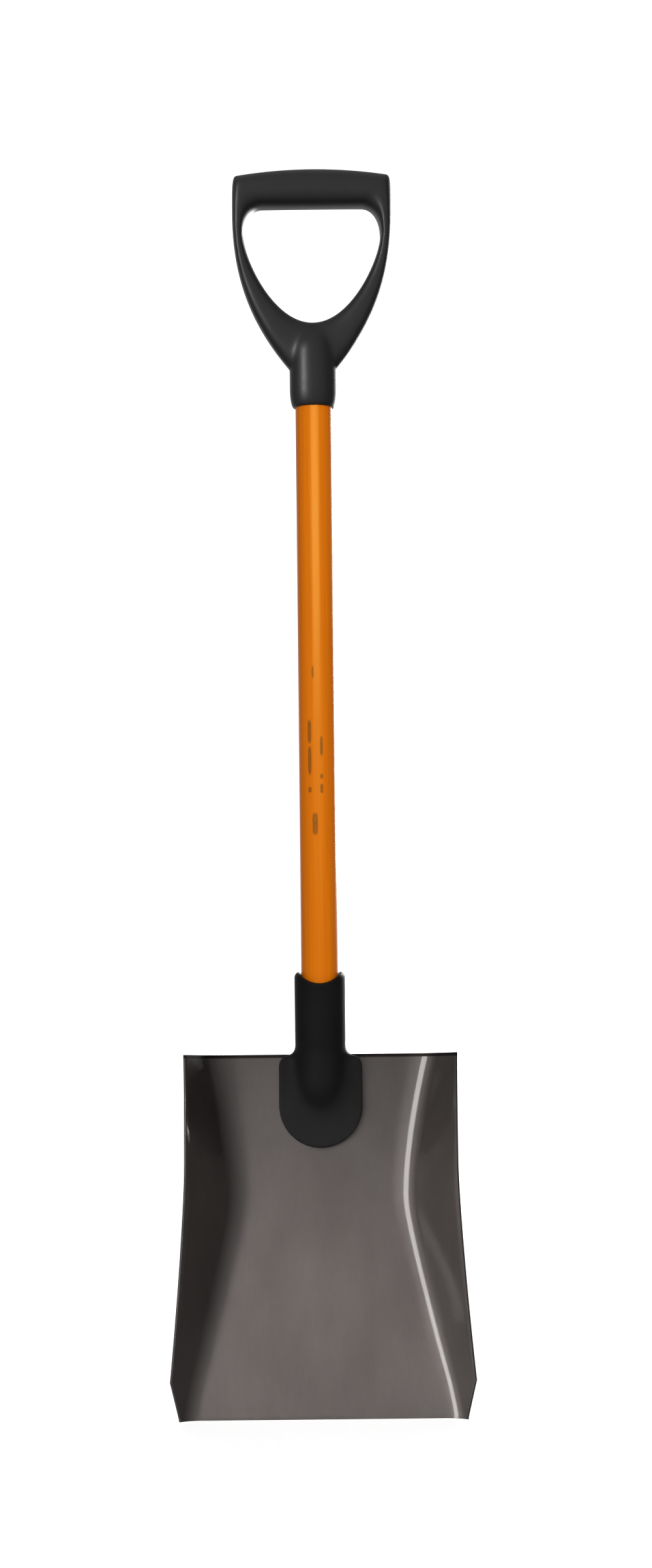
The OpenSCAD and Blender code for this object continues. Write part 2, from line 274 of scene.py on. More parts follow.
def copy_of(obj, name):
    """A second object with its own copy of the mesh."""
    twin = obj.copy()
    twin.data = obj.data.copy()
    twin.name = name
    bpy.context.scene.collection.objects.link(twin)
    return twin


def box(name, lo, hi):
    """A rectangular block between two corners."""
    outline = [(lo[0], lo[2]), (hi[0], lo[2]), (hi[0], hi[2]), (lo[0], hi[2])]
    return prism(name, outline, lo[1], hi[1])


def joined(name, parts):
    """Several solids as one object."""
    bpy.ops.object.select_all(action="DESELECT")
    for part in parts:
        part.select_set(True)
    bpy.context.view_layer.objects.active = parts[0]
    bpy.ops.object.join()
    parts[0].name = name
    return parts[0]


def fuse(name, parts, voxel, rounds):
    """One closed solid from overlapping ones, with its edges softened a little."""
    body = joined(name, parts)
    modify(body, "REMESH", mode="VOXEL", voxel_size=voxel, adaptivity=0)
    return modify(body, "SMOOTH", factor=0.5, iterations=rounds)


def melt(body, weight, rounds):
    """Smooths the surface further where weight, a function of place, says so from 0 to 1."""
    steps = 10
    levels = [[] for i in range(steps + 1)]
    for vertex in body.data.vertices:
        levels[round(steps * weight(vertex.co))].append(vertex.index)
    group = body.vertex_groups.new(name="melt")
    for i, members in enumerate(levels[1:]):
        group.add(members, (i + 1) / steps, "REPLACE")
    modify(body, "SMOOTH", factor=0.5, iterations=rounds, vertex_group="melt")
    body.vertex_groups.clear()
    return body


def lerp(a, b, t):
    """From a at t = 0 to b at t = 1."""
    return a + (b - a) * t


def smooth(t):
    """0 below 0, 1 above 1 and a soft rise between."""
    t = min(max(t, 0), 1)
    return t * t * (3 - 2 * t)


# ---- Blade ----

def floor_angle(v):
    """Angle of the floor against the vertical at v, measured up from the mouth."""
    t = min(max((v - FLOOR_LEN) / BEND_LEN, 0), 1)
    return lerp(LIFT, UPPER_LIFT, t)


def floor_at(v):
    """Front face of the floor in side view at v, as (y, z)."""
    a = floor_angle(v)
    low = min(v, FLOOR_LEN)
    high = max(v - FLOOR_LEN - BEND_LEN, 0)
    y = low * math.sin(LIFT) + BEND_R * (math.cos(a) - math.cos(LIFT)) + high * math.sin(UPPER_LIFT)
    z = low * math.cos(LIFT) + BEND_R * (math.sin(LIFT) - math.sin(a)) + high * math.cos(UPPER_LIFT)
    return y, MOUTH_Z + z


def rim_half(v):
    """Half of the blade's overall width at v."""
    if v < CORNER_V:
        return lerp(BLADE_HALF - CORNER_CUT, BLADE_HALF, v / CORNER_V)
    if v < WAIST_V:
        return lerp(WAIST_HALF, BLADE_HALF, ((WAIST_V - v) / (WAIST_V - CORNER_V)) ** 1.5)
    return WAIST_HALF + TOP_FLARE * ((v - WAIST_V) / (BLADE_LEN - WAIST_V)) ** 2


def floor_half(v):
    """Half of the width of the flat floor at v, out to the corner of the fold."""
    below = NARROW_V - v
    if below > 0:
        return FLOOR_HALF + math.hypot(FLOOR_FLARE_SLOPE * below, FLOOR_FLARE_SOFT) - FLOOR_FLARE_SOFT
    return FLOOR_HALF + FLOOR_FLARE_TOP * (-below / (BLADE_LEN - NARROW_V)) ** 1.5


def wall_at(v):
    """Height of the wall at v, square to the floor."""
    if v < CORNER_V:
        return lerp(WALL_H_MOUTH, WALL_H_CORNER, v / CORNER_V)
    if v < WAIST_V:
        t = (v - CORNER_V) / (WAIST_V - CORNER_V)
        return lerp(WALL_H_CORNER, WALL_H, math.sin(t * math.pi / 2))
    return lerp(WALL_H, WALL_H_TOP, ((v - WAIST_V) / (BLADE_LEN - WAIST_V)) ** 2)


def fold_at(v):
    """Inner radius of the fold at v: tight at the mouth, wide at the top edge."""
    if v < NARROW_V:
        return lerp(FOLD_R_MOUTH, FOLD_R, v / NARROW_V)
    return lerp(FOLD_R, FOLD_R_TOP, ((v - NARROW_V) / (BLADE_LEN - NARROW_V)) ** 1.5)


def half_section(v, back, n_floor=14, n_fold=16, n_wall=8):
    """Right half of a cross-section at v as (u, w), from the middle out, with w into the dish."""
    rim_u, rim_w = rim_half(v) - RIM_INSET, wall_at(v)
    foot = floor_half(v)
    lean = math.atan2(rim_w, rim_u - foot)
    fold = fold_at(v)
    start = foot - fold * math.tan(lean / 2)
    r = fold + back
    points = [(start * i / n_floor, -back) for i in range(n_floor)]
    points += [(start + r * math.sin(lean * i / n_fold), fold - r * math.cos(lean * i / n_fold))
               for i in range(n_fold + 1)]
    last = points[-1]
    rim = (rim_u + back * math.sin(lean), rim_w - back * math.cos(lean))
    points += [(lerp(last[0], rim[0], i / n_wall), lerp(last[1], rim[1], i / n_wall))
               for i in range(1, n_wall + 1)]
    return points


def section(v, back):
    """Whole cross-section at v in space, from the left rim to the right rim."""
    half = half_section(v, back)
    flat = [(-u, w) for u, w in reversed(half[1:])] + half
    y, z = floor_at(v)
    a = floor_angle(v)
    return [(u, y - w * math.cos(a), z + w * math.sin(a)) for u, w in flat]


def upper_floor():
    """Matrix of the upper floor: origin at the top edge's front face, +Z up it, -Y out of it."""
    y, z = floor_at(BLADE_LEN)
    return Matrix.Translation((0, y, z)) @ Matrix.Rotation(-UPPER_LIFT, 4, "X")


def pin_through(name, place, radius, y0, y1):
    """A round bar square to the upper floor, from depth y0 to depth y1."""
    bar = cylinder(name, radius, y0, y1, 32)
    turn = Matrix.Translation((place[0], 0, place[1])) @ Matrix.Rotation(-math.pi / 2, 4, "X")
    return moved(bar, upper_floor() @ turn)


def make_blade():
    """The pan: a lofted sheet with rounded edges, notched for the socket and drilled."""
    n_low, n_high = 10, 84
    stations = [CORNER_V * i / n_low for i in range(n_low)]
    stations += [lerp(CORNER_V, BLADE_LEN, i / n_high) for i in range(n_high + 1)]
    rings = [section(v, 0) + list(reversed(section(v, SHEET_T))) for v in stations]
    n = len(rings[0])
    verts = [p for ring in rings for p in ring]
    faces = []
    for i in range(len(rings) - 1):
        for j in range(n):
            j2 = (j + 1) % n
            faces.append((i * n + j, (i + 1) * n + j, (i + 1) * n + j2, i * n + j2))
    for base in (0, (len(rings) - 1) * n):
        for j in range(n // 2 - 1):
            faces.append((base + j, base + j + 1, base + n - 2 - j, base + n - 1 - j))
    blade = make_object("steel_pan", verts, faces)
    modify(blade, "BEVEL", width=EDGE_ROUND, segments=3, limit_method="ANGLE",
           angle_limit=math.radians(60))
    notch = cylinder("notch", SOCKET_R, SOCKET_Z - SOCKET_GAP, SOCKET_TOP)
    combine(blade, on_shaft(notch), "DIFFERENCE")
    for place in RIVET_PLACES:
        combine(blade, pin_through("hole", place, RIVET_R, -PAST, SHEET_T + PAST), "DIFFERENCE")
    for place in SCREW_PLACES:
        hole = pin_through("hole", place, SCREW_R + SCREW_GAP, -PAST, SHEET_T + PAST)
        combine(blade, hole, "DIFFERENCE")
    return shade_smooth(blade, 50)


# ---- Socket cover ----

def arc(cx, cz, r, a0, a1, n):
    """Points along an arc, with angles in degrees from +X towards +Z."""
    angles = [math.radians(lerp(a0, a1, i / n)) for i in range(n + 1)]
    return [(cx + r * math.cos(a), cz + r * math.sin(a)) for a in angles]


def tongue_outline():
    """Outline of the tongue in the plane of the upper floor: round below, round corners on top."""
    r = TONGUE_CORNER_R
    x, low = TONGUE_HALF - r, TONGUE_HALF - TONGUE_LEN
    return arc(0, low, TONGUE_HALF, 180, 360, 48) + arc(x, -r, r, 0, 90, 12) + arc(-x, -r, r, 90, 180, 12)


def make_cover_body():
    """The whole moulding before it is split: tube, dome and tongue, blended into each other."""
    lip_z = COVER_TOP - LIP_H
    dome = [(COVER_R * math.cos(a), SOCKET_Z + DOME_H * math.sin(a)) for a in quarter(16, -90)]
    lip = [(LIP_R + (COVER_R - LIP_R) * math.cos(a), lip_z + LIP_H * math.sin(a))
           for a in quarter(10, 0)]
    tube = lathe("cover_body", [(ON_AXIS, dome[0][1])] + dome[1:] + lip + [(ON_AXIS, COVER_TOP)])
    scallop_r = (SCALLOP_HALF ** 2 + SCALLOP ** 2) / (2 * SCALLOP)
    scallop = cylinder("scallop", scallop_r, -2 * COVER_R, 2 * COVER_R, 192)
    moved(scallop, Matrix.Translation((0, 0, COVER_TOP - SCALLOP + scallop_r))
          @ Matrix.Rotation(math.pi / 2, 4, "X"))
    body = on_shaft(combine(tube, scallop, "DIFFERENCE"))
    slab = prism("tongue", tongue_outline(), -FRONT_PAD, SHEET_T + REAR_PAD)
    body = fuse("cover_body", [body, moved(slab, upper_floor())], COVER_VOXEL, 4)
    to_floor = upper_floor().inverted()
    return melt(body, lambda p: cover_melt(to_floor @ p), COVER_MELT)


def cover_melt(p):
    """How far the cover's surface melts at p, given in the upper floor's frame: not at its rim."""
    low = TONGUE_HALF - TONGUE_LEN
    out = math.hypot(p.x, min(p.z - low, 0))
    rim, rim_fade, top, top_fade = 3 * MM, 7 * MM, 12 * MM, 10 * MM
    return smooth((TONGUE_HALF - rim - out) / rim_fade) * smooth((top - p.z) / top_fade)


def make_covers():
    """Front and rear half of the moulded cover, split at the blade and at the shaft's axis."""
    reach = 120 * MM
    blade_top = floor_at(BLADE_LEN)[1]
    body = make_cover_body()
    for radius, z1 in ((SOCKET_R, SOCKET_TOP), (FIT_R, COVER_TOP + PAST)):
        combine(body, on_shaft(cylinder("bore", radius, SOCKET_Z, z1)), "DIFFERENCE")
    front, rear = copy_of(body, "cover_front"), copy_of(body, "cover_rear")
    bpy.data.objects.remove(body)
    behind = box("cut", (-reach, 0, -reach), (reach, reach, 0))
    combine(front, moved(behind, upper_floor()), "DIFFERENCE")
    behind = box("cut", (-reach, -SEAM_HALF, 0), (reach, reach, reach))
    combine(front, on_shaft(behind, blade_top - SEAM_DROP), "DIFFERENCE")
    before = box("cut", (-reach, -reach, -reach), (reach, SHEET_T, 0))
    combine(rear, moved(before, upper_floor()), "DIFFERENCE")
    before = box("cut", (-reach, -reach, 0), (reach, SEAM_HALF, reach))
    combine(rear, on_shaft(before, blade_top - SHEET_T * math.sin(UPPER_LIFT)), "DIFFERENCE")
    return shade_smooth(front), shade_smooth(rear)


# ---- Screws ----

def make_screw(name, shank_r, head_r, head_h, shank_len):
    """A pan-head screw with a cross recess: seat at the origin, head towards +Z."""
    crown = [(head_r * math.cos(a), head_h * (0.35 + 0.65 * math.sin(a)))
             for a in [math.pi / 2 * i / 10 for i in range(10)]]
    shank = [(ON_AXIS, -shank_len), (shank_r, -shank_len), (shank_r, 0), (head_r, 0)]
    screw = lathe(name, shank + crown + [(ON_AXIS, head_h)], 48)
    wide, narrow, deep = 0.55 * head_r, 0.11 * head_r, 0.55 * head_h
    for x, y in ((wide, narrow), (narrow, wide)):
        slot = box("slot", (-x, -y, head_h - deep), (x, y, head_h + deep))
        combine(screw, slot, "DIFFERENCE")
    return shade_smooth(screw)


def make_cover_screws():
    """The four screws on the back of the cover, each stopped at an angle of its own."""
    face = SHEET_T + REAR_PAD
    screws = []
    for x, z in SCREW_PLACES:
        screw = make_screw("screw", SCREW_R, SCREW_HEAD_R, SCREW_HEAD_H, face + SCREW_DEPTH)
        turn = Matrix.Rotation(math.radians(40 + 900 * (x + z)), 4, "Z")
        place = Matrix.Translation((x, face, z)) @ Matrix.Rotation(-math.pi / 2, 4, "X")
        screws.append(moved(screw, upper_floor() @ place @ turn))
    return joined("cover_screw_set", screws)


def make_grip_screw():
    """The screw that holds the grip, sunk into the back of its neck."""
    lo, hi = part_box("grip_screw")
    seat = hi.y - GRIP_SCREW_HEAD_H
    screw = make_screw("neck_screw", GRIP_SCREW_R, GRIP_SCREW_HEAD_R, GRIP_SCREW_HEAD_H, seat - lo.y)
    place = Matrix.Translation((0, seat, (lo.z + hi.z) / 2)) @ Matrix.Rotation(-math.pi / 2, 4, "X")
    return moved(screw, place)


# ---- Shaft ----

def make_shaft():
    """The glass-fibre tube, with a small chamfer at both ends."""
    r, bore, cut = SHAFT_R, SHAFT_R - TUBE_WALL, TUBE_CHAMFER
    z0, z1 = SHAFT_LO.z, SHAFT_HI.z
    profile = [(bore, z0), (r - cut, z0), (r, z0 + cut)]
    profile += [(r, lerp(z0, z1, i / 40)) for i in range(1, 40)]
    profile += [(r, z1 - cut), (r - cut, z1), (bore, z1)]
    return shade_smooth(on_shaft(lathe("fibreglass_tube", profile, 128)))


# ---- Grip ----

def curve(points, n):
    """n points along a cubic curve, its end left out."""
    knots = [Vector((x, z, 0)) for x, z in points]
    line = interpolate_bezier(*knots, n + 1)
    return [(p.x, p.y) for p in line[:n]]


def hole_outline(n_top, n_corner, n_side):
    """Right half of the hand hole, from the middle of its top round to the middle of its bottom."""
    top, half = GRIP_H - BAR_H, HOLE_HALF
    flat, side_z = half - 15.8 * MM, top - 24.5 * MM
    corner = [(flat, top), (flat + 9 * MM, top), (half, top - 9.5 * MM), (half, side_z)]
    side = [(half, side_z), (half, side_z - 17 * MM), (0.58 * half, HOLE_Z), (0, HOLE_Z)]
    line = [(flat * i / n_top, top) for i in range(n_top)]
    return line + curve(corner, n_corner) + curve(side, n_side) + [(0, HOLE_Z)]


def grip_outline(n_top, n_corner, n_side):
    """Right half of the grip's outer outline, with as many points as the hole's."""
    half, top = GRIP_HALF, GRIP_H
    shoulder, side_z = (half - 3.5 * MM, top - 5 * MM), top - 40 * MM
    neck = (NECK_R, 32 * MM)
    corner = [shoulder, (half - 0.4 * MM, top - 5.5 * MM), (half, top - 10 * MM), (half, side_z)]
    side = [(half, side_z), (half - 0.4 * MM, side_z - 50 * MM), (neck[0] + 31 * MM, 69 * MM), neck]
    n_outer = round(0.8 * n_side)
    line = [(shoulder[0] * i / n_top, top - (top - shoulder[1]) * (i / n_top) ** 2)
            for i in range(n_top)]
    line += curve(corner, n_corner) + curve(side, n_outer)
    n_rest = n_side - n_outer
    return line + [(lerp(neck[0], 0, i / n_rest), neck[1]) for i in range(n_rest + 1)]


def full_loop(half):
    """The right half of an outline with its mirror image."""
    return half + [(-x, z) for x, z in reversed(half[1:-1])]


def soft_power(x, power):
    """Bends a cosine or a sine so that a circle becomes a rounded rectangle."""
    return math.copysign(abs(x) ** (2 / power), x)


def ring_section(inner, outer, n, power=2.6):
    """Section of the grip's ring between a point of the hand hole and one outside."""
    a, b = Vector(inner), Vector(outer)
    middle, reach = (a + b) / 2, (b - a) / 2
    depth = lerp(ARM_DEPTH, BAR_DEPTH, smooth((inner[1] - 110 * MM) / (55 * MM))) / 2
    points = []
    for j in range(n):
        phi = 2 * math.pi * j / n
        p = middle + reach * soft_power(math.cos(phi), power)
        points.append((p.x, depth * soft_power(math.sin(phi), power), p.y))
    return points


def make_ring():
    """Bar and arms of the grip: sections set round the hand hole."""
    counts = (12, 16, 40)
    inner, outer = full_loop(hole_outline(*counts)), full_loop(grip_outline(*counts))
    m, n = len(inner), 40
    verts = [p for a, b in zip(inner, outer) for p in ring_section(a, b, n)]
    faces = [(i * n + j, (i + 1) % m * n + j, (i + 1) % m * n + (j + 1) % n, i * n + (j + 1) % n)
             for i in range(m) for j in range(n)]
    return make_object("ring", verts, faces)


def make_neck():
    """The sleeve round the shaft, with its lower rim rolled in and a tapering top."""
    roll = NECK_R - RIM_R
    rim = [(RIM_R + roll * math.sin(a), RIM_H * (1 - math.cos(a))) for a in quarter(8, 0)]
    crown = [(NECK_R * math.cos(a), NECK_RISE + CROWN_H * math.sin(a)) for a in quarter(12, 0)]
    return lathe("neck", [(ON_AXIS, 0)] + rim + crown[:-1] + [(ON_AXIS, NECK_RISE + CROWN_H)])


def grip_melt(p):
    """How far the grip's surface melts at p: on the faces round the top of the neck."""
    across = smooth((36 * MM - abs(p.x)) / (12 * MM))
    face = smooth((abs(p.y) - 4 * MM) / (5 * MM))
    return across * face * smooth((p.z - 30 * MM) / (12 * MM)) * smooth((80 * MM - p.z) / (10 * MM))


def make_grip():
    """The moulded D-grip, bored for the shaft and drilled from the back for its screw."""
    grip = fuse("moulded_grip", [make_ring(), make_neck()], GRIP_VOXEL, 6)
    melt(grip, grip_melt, GRIP_MELT)
    bore = cylinder("bore", FIT_R, -2 * MM, GRIP_BORE)
    combine(grip, bore, "DIFFERENCE")
    seat = NECK_R - GRIP_SCREW_SINK
    for radius, depth in ((GRIP_SCREW_R + 0.1 * MM, 0), (GRIP_SCREW_HEAD_R + SCREW_GAP, seat)):
        hole = cylinder("hole", radius, depth, 2 * NECK_R, 48)
        turn = Matrix.Translation((0, 0, GRIP_SCREW_Z)) @ Matrix.Rotation(-math.pi / 2, 4, "X")
        combine(grip, moved(hole, turn), "DIFFERENCE")
    return shade_smooth(on_shaft(grip, GRIP_BOTTOM))


# ---- Materials ----

def add(tree, kind, inputs=None, **settings):
    """A node with these settings, its inputs set to values or linked to sockets."""
    node = tree.nodes.new(kind)
    for key, value in settings.items():
        setattr(node, key, value)
    for key, value in (inputs or {}).items():
        if isinstance(value, bpy.types.NodeSocket):
            tree.links.new(value, node.inputs[key])
        else:
            node.inputs[key].default_value = value
    return node


def new_material(name, **fixed):
    """A principled material, its fixed numbers set on the shader's own sockets."""
    material = bpy.data.materials.new(name)
    material.use_nodes = True
    shader = material.node_tree.nodes["Principled BSDF"]
    for key, value in fixed.items():
        shader.inputs[key.replace("_", " ")].default_value = value
    return material, material.node_tree, shader


def place_of(tree):
    """Coordinates of the surface in the frame of the model."""
    return add(tree, "ShaderNodeTexCoord").outputs["Object"]


def noise(tree, scale, detail=3.0, stretch=(1, 1, 1)):
    """Noise in the model's frame, scale being cells per metre."""
    mapping = add(tree, "ShaderNodeMapping", {"Vector": place_of(tree), "Scale": stretch})
    texture = add(tree, "ShaderNodeTexNoise", {"Vector": mapping.outputs["Vector"], "Scale": scale,
                                               "Detail": detail})
    return texture.outputs["Fac"]


def ramp(tree, value, stops):
    """A colour ramp from (position, colour) pairs."""
    node = add(tree, "ShaderNodeValToRGB", {"Fac": value})
    elements = node.color_ramp.elements
    while len(elements) < len(stops):
        elements.new(0.5)
    for element, (position, colour) in zip(elements, stops):
        element.position = position
        element.color = (*colour, 1)
    return node.outputs["Color"]


def span(tree, value, low, high):
    """Maps 0..1 to low..high."""
    node = add(tree, "ShaderNodeMapRange", {"Value": value, "To Min": low, "To Max": high})
    return node.outputs["Result"]


def bump(tree, shader, height, strength, distance):
    """Roughens the shader's normal with a height map."""
    node = add(tree, "ShaderNodeBump", {"Height": height, "Strength": strength, "Distance": distance})
    tree.links.new(node.outputs["Normal"], shader.inputs["Normal"])


def step(tree, value, low, high):
    """Rises smoothly from 0 to 1 as value goes from low to high."""
    return add(tree, "ShaderNodeMapRange", {"Value": value, "From Min": low, "From Max": high},
               interpolation_type="SMOOTHSTEP").outputs["Result"]


def math_node(tree, operation, a, b):
    """Result of one Math node."""
    return add(tree, "ShaderNodeMath", {0: a, 1: b}, operation=operation).outputs["Value"]


def mixed(tree, factor, a, b):
    """Colour a where factor is 0 and colour b where it is 1."""
    node = add(tree, "ShaderNodeMix", {"Factor": factor}, data_type="RGBA")
    for socket, colour in ((node.inputs[6], a), (node.inputs[7], b)):
        if isinstance(colour, bpy.types.NodeSocket):
            tree.links.new(colour, socket)
        else:
            socket.default_value = (*colour, 1)
    return node.outputs[2]


def top_edge_shade_mask(tree):
    """1 along the blade's top edge, in the strip where shade is painted: a dark band that stands in for
    the top edge in shadow.
    """
    up = Vector((0, math.sin(UPPER_LIFT), math.cos(UPPER_LIFT)))
    edge = up.dot(Vector((0, *floor_at(BLADE_LEN))))
    height = add(tree, "ShaderNodeVectorMath", {0: place_of(tree), 1: up}, operation="DOT_PRODUCT")
    return step(tree, height.outputs["Value"], edge - EDGE_SHADE_BAND, edge - EDGE_SHADE_BAND + EDGE_SHADE_FADE)


def lacquered_steel():
    """Dark rolled steel under clear lacquer: soft mottling, fine rolling marks, glossy coat, and painted
    shade along the top edge, near black and without coat.
    """
    material, tree, shader = new_material(
        "lacquered_steel", Metallic=1.0, Coat_Roughness=0.09, Coat_IOR=1.5)
    mottle = noise(tree, 18, 5, (1, 1, 0.5))
    streak = noise(tree, 60, 4, (6, 6, 0.25))
    colour = ramp(tree, mottle, [(0.3, (0.078, 0.067, 0.063)), (0.7, (0.100, 0.088, 0.082))])
    # Painted shade: a near-black band without coat along the top edge stands in for the edge in shadow.
    edge = top_edge_shade_mask(tree)
    colour = mixed(tree, edge, colour, (0.02, 0.016, 0.015))
    tree.links.new(colour, shader.inputs["Base Color"])
    tree.links.new(span(tree, edge, 1, 0), shader.inputs["Coat Weight"])
    tree.links.new(span(tree, streak, 0.50, 0.60), shader.inputs["Roughness"])
    bump(tree, shader, noise(tree, 900, 3), 0.04, 0.05 * MM)
    return material


def black_plastic(name, dark, light, rough, gloss):
    """Moulded polypropylene with a fine spark-eroded texture."""
    material, tree, shader = new_material(name, Specular_IOR_Level=gloss)
    tone = noise(tree, 35, 4)
    tree.links.new(ramp(tree, tone, [(0.3, dark), (0.7, light)]), shader.inputs["Base Color"])
    tree.links.new(span(tree, noise(tree, 180, 3), rough - 0.05, rough + 0.05),
                   shader.inputs["Roughness"])
    bump(tree, shader, noise(tree, 2600, 2), 0.25, 0.08 * MM)
    return material


def offset_4(tree, value, middle, half):
    """Fourth power of the distance from the middle, 1 being at half the width."""
    offset = math_node(tree, "DIVIDE", math_node(tree, "SUBTRACT", value, middle), half)
    square = math_node(tree, "MULTIPLY", offset, offset)
    return math_node(tree, "MULTIPLY", square, square)


def print_mask(tree):
    """1 on the plain bars printed on the front of the shaft, fading at their rounded edges."""
    place = add(tree, "ShaderNodeSeparateXYZ", {"Vector": place_of(tree)}).outputs
    bars = 0.0
    for x, z, half_w, half_h in PRINTED_BARS:
        across, along = offset_4(tree, place["X"], x, half_w), offset_4(tree, place["Z"], z, half_h)
        bar = step(tree, math_node(tree, "ADD", across, along), 1.6, 0.3)
        bars = math_node(tree, "MAXIMUM", bars, bar)
    front = step(tree, place["Y"], AXIS_Y, AXIS_Y - 1 * MM)
    return math_node(tree, "MULTIPLY", bars, front)


def orange_fibreglass():
    """Pigmented resin over lengthwise glass fibres."""
    material, tree, shader = new_material(
        "orange_fibreglass", Specular_IOR_Level=0.5, Specular_Tint=(1, 0.7, 0.15, 1))
    fibre = noise(tree, 500, 4, (1, 1, 0.02))
    colour = ramp(tree, fibre, [(0.25, (0.74, 0.165, 0.002)), (0.75, (0.84, 0.200, 0.003))])
    ink = math_node(tree, "MULTIPLY", print_mask(tree), span(tree, noise(tree, 900, 2), 0.35, 1.0))
    colour = mixed(tree, ink, colour, (0.16, 0.055, 0.012))
    tree.links.new(colour, shader.inputs["Base Color"])
    tree.links.new(span(tree, fibre, 0.24, 0.32), shader.inputs["Roughness"])
    bump(tree, shader, fibre, 0.12, 0.1 * MM)
    return material


def plain_stuff(name, dark, light, metallic, rough, scale):
    """A softly varied material for fasteners and hidden pieces."""
    material, tree, shader = new_material(name, Metallic=metallic)
    tone = noise(tree, scale, 4)
    tree.links.new(ramp(tree, tone, [(0.3, dark), (0.7, light)]), shader.inputs["Base Color"])
    tree.links.new(span(tree, tone, rough - 0.06, rough + 0.06), shader.inputs["Roughness"])
    return material


def paint(obj, material):
    """Gives the whole object one material."""
    if obj.data.materials:
        for i in range(len(obj.data.materials)):
            obj.data.materials[i] = material
    else:
        obj.data.materials.append(material)


def place_piece(obj, slot, material, *nodes):
    """Rides a finished piece on the model in the place of its CAD nodes."""
    paint(obj, material)
    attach(obj, "root")
    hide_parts(*nodes)


# ---- Studio ----

def make_sweep():
    """A seamless pale sweep: a wide floor that curves up into a wall all round.

    Only the camera sees it. The light on the shovel comes from the world and the lamps, as if
    black cards kept the pale surroundings out of its glossy sides."""
    bend = [(SWEEP_R + SWEEP_CURVE_R * math.cos(a), SWEEP_CURVE_R * (1 + math.sin(a)))
            for a in quarter(16, -90)]
    inside = [(ON_AXIS, -SWEEP_DROP)] + bend + [(SWEEP_R + SWEEP_CURVE_R, SWEEP_HEIGHT)]
    outside = [(r + SWEEP_DEPTH, z - SWEEP_DEPTH) for r, z in reversed(inside[1:])]
    outside += [(ON_AXIS, -SWEEP_DEPTH)]
    sweep = shade_smooth(lathe("studio_sweep", inside + outside, 128))
    material, tree, shader = new_material("sweep_paint", Roughness=0.9, Specular_IOR_Level=0.1,
                                          Emission_Color=(1, 1, 1, 1))
    height = add(tree, "ShaderNodeSeparateXYZ", {"Vector": place_of(tree)}).outputs["Z"]
    glow = span(tree, step(tree, height, 0, SWEEP_CURVE_R), 0.76, 1.0)
    tree.links.new(glow, shader.inputs["Emission Strength"])
    tone = ramp(tree, noise(tree, 3, 2), [(0.3, (0.80, 0.80, 0.80)), (0.7, (0.82, 0.82, 0.82))])
    tree.links.new(tone, shader.inputs["Base Color"])
    paint(sweep, material)
    sweep.visible_diffuse = False
    sweep.visible_glossy = False
    sweep.visible_shadow = False


def area_light(name, place, aim_z, size, power, roll=0):
    """A soft rectangular light that looks at the shaft's axis at aim_z, rolled about its beam."""
    light = bpy.data.lights.new(name, "AREA")
    light.shape = "RECTANGLE"
    light.size, light.size_y = size
    light.energy = power
    lamp = bpy.data.objects.new(name, light)
    bpy.context.scene.collection.objects.link(lamp)
    lamp.location = place
    lamp.rotation_mode = "QUATERNION"
    beam = Vector((0, AXIS_Y, aim_z)) - Vector(place)
    turn = Quaternion((0, 0, 1), math.radians(roll))
    lamp.rotation_quaternion = beam.to_track_quat("-Z", "Y") @ turn
    return lamp


def light_only(lamp, *pieces):
    """Keeps a lamp's light to these pieces."""
    receivers = bpy.data.collections.new(lamp.name + "_receivers")
    for piece in pieces:
        receivers.objects.link(piece)
    lamp.light_linking.receiver_collection = receivers


def around(azimuth, height, distance=LAMP_DISTANCE):
    """A place round the shaft: azimuth 0 is in front, positive to the left as seen from there."""
    a = math.radians(azimuth)
    return (-distance * math.sin(a), AXIS_Y - distance * math.cos(a), height)


def make_world():
    """Surroundings that light the shovel: broad soft light from the front, a little to the left,
    strips behind and overhead, and less light from the sides and from below."""
    world = bpy.data.worlds.new("studio_world")
    world.use_nodes = True
    tree = world.node_tree
    direction = add(tree, "ShaderNodeTexCoord").outputs["Generated"]
    axes = add(tree, "ShaderNodeSeparateXYZ", {"Vector": direction}).outputs
    towards_light = Vector(around(6, 0, 1)) - Vector((0, AXIS_Y, 0))
    facing = add(tree, "ShaderNodeVectorMath", {0: direction, 1: towards_light}, operation="DOT_PRODUCT")
    front = span(tree, step(tree, facing.outputs["Value"], 0.0, 0.95), 0.17, 0.53)
    back = span(tree, step(tree, axes["Y"], 0.55, 0.90), 0.05, 0.75)
    overhead = span(tree, step(tree, axes["Z"], 0.45, 0.95), 0, 0.45)
    level = math_node(tree, "MAXIMUM", math_node(tree, "MAXIMUM", front, back), overhead)
    above = span(tree, step(tree, axes["Z"], -0.5, 0.0), 0.75, 1.0)
    level = math_node(tree, "MULTIPLY", level, above)
    tree.links.new(level, tree.nodes["Background"].inputs["Color"])
    bpy.context.scene.world = world


def light_studio(blade, cover_front, cover_rear, shaft, grip):
    """Softboxes: one behind for every piece, the others kept to the pieces that they model."""
    sky_box = area_light("sky_box", around(22, 1.37), 0.02, (0.9, 0.12), 0.8)
    sky_box.data.spread = math.radians(12)
    light_only(sky_box, blade, cover_front, cover_rear)
    light_only(area_light("low_strip", around(48, 0.22), 0.45, (0.74, 2.2), 42, roll=22), blade)
    light_only(area_light("high_strip", around(46, 1.36), 0.85, (0.22, 0.45), 20), grip)
    light_only(area_light("front_box", around(-2, 1.1), 0.65, (2.0, 0.6), 32), shaft)
    area_light("back_box", around(205, 1.0, 2.6), 0.3, (1.2, 1.4), 62)


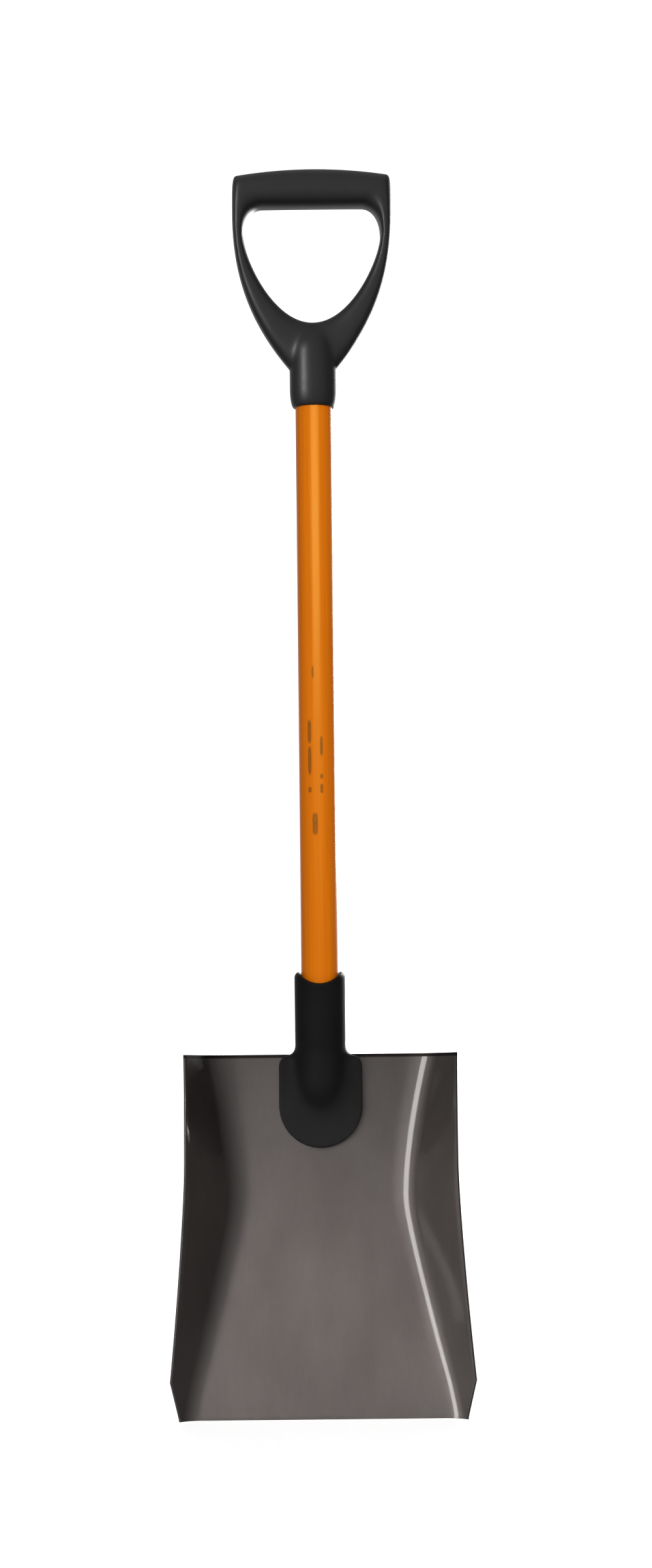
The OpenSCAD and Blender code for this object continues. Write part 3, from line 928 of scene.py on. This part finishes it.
def make_camera():
    """Level camera in front, at half height, rolled a little so that the shovel leans in its frame."""
    camera = bpy.data.cameras.new("camera")
    camera.sensor_width = 36
    camera.lens = camera.sensor_width * VIEW_DISTANCE / VIEW_HEIGHT
    eye = bpy.data.objects.new("camera", camera)
    bpy.context.scene.collection.objects.link(eye)
    eye.location = (VIEW_X, AXIS_Y - VIEW_DISTANCE, VIEW_Z)
    eye.rotation_euler = (math.pi / 2, math.radians(VIEW_ROLL), 0)
    bpy.context.scene.camera = eye


make_camera()
make_world()
make_sweep()
bpy.context.scene.view_settings.view_transform = "Standard"

steel = lacquered_steel()
cover_black = black_plastic("cover_plastic", (0.008, 0.007, 0.007), (0.012, 0.011, 0.011), 0.56, 0.20)
grip_black = black_plastic("grip_plastic", (0.011, 0.010, 0.011), (0.016, 0.015, 0.016), 0.42, 0.6)
orange = orange_fibreglass()
zinc = plain_stuff("zinc_plate", (0.50, 0.50, 0.50), (0.62, 0.62, 0.60), 1.0, 0.35, 300)
nylon = plain_stuff("nylon", (0.66, 0.64, 0.58), (0.72, 0.70, 0.64), 0.0, 0.5, 60)
foam = plain_stuff("foam", (0.80, 0.76, 0.58), (0.86, 0.82, 0.66), 0.0, 0.9, 900)

blade, shaft, grip = make_blade(), make_shaft(), make_grip()
cover_front, cover_rear = make_covers()
place_piece(blade, "blade_steel", steel, "blade")
place_piece(cover_front, "black_plastic", cover_black, "socket_cover_front")
place_piece(cover_rear, "black_plastic", cover_black, "socket_cover_rear")
place_piece(make_cover_screws(), "fastener_steel", zinc, "cover_screws")
place_piece(shaft, "orange_fibreglass", orange, "shaft_tube")
place_piece(grip, "grip_plastic", grip_black, "d_grip")
place_piece(make_grip_screw(), "fastener_steel", zinc, "grip_screw")
for name in ("blade_socket", "strap_rivets", "shaft_rivets"):
    paint(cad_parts[name], zinc)
for name in ("shaft_plug_lower", "shaft_plug_upper"):
    paint(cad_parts[name], nylon)
paint(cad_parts["shaft_core"], foam)

light_studio(blade, cover_front, cover_rear, shaft, grip)
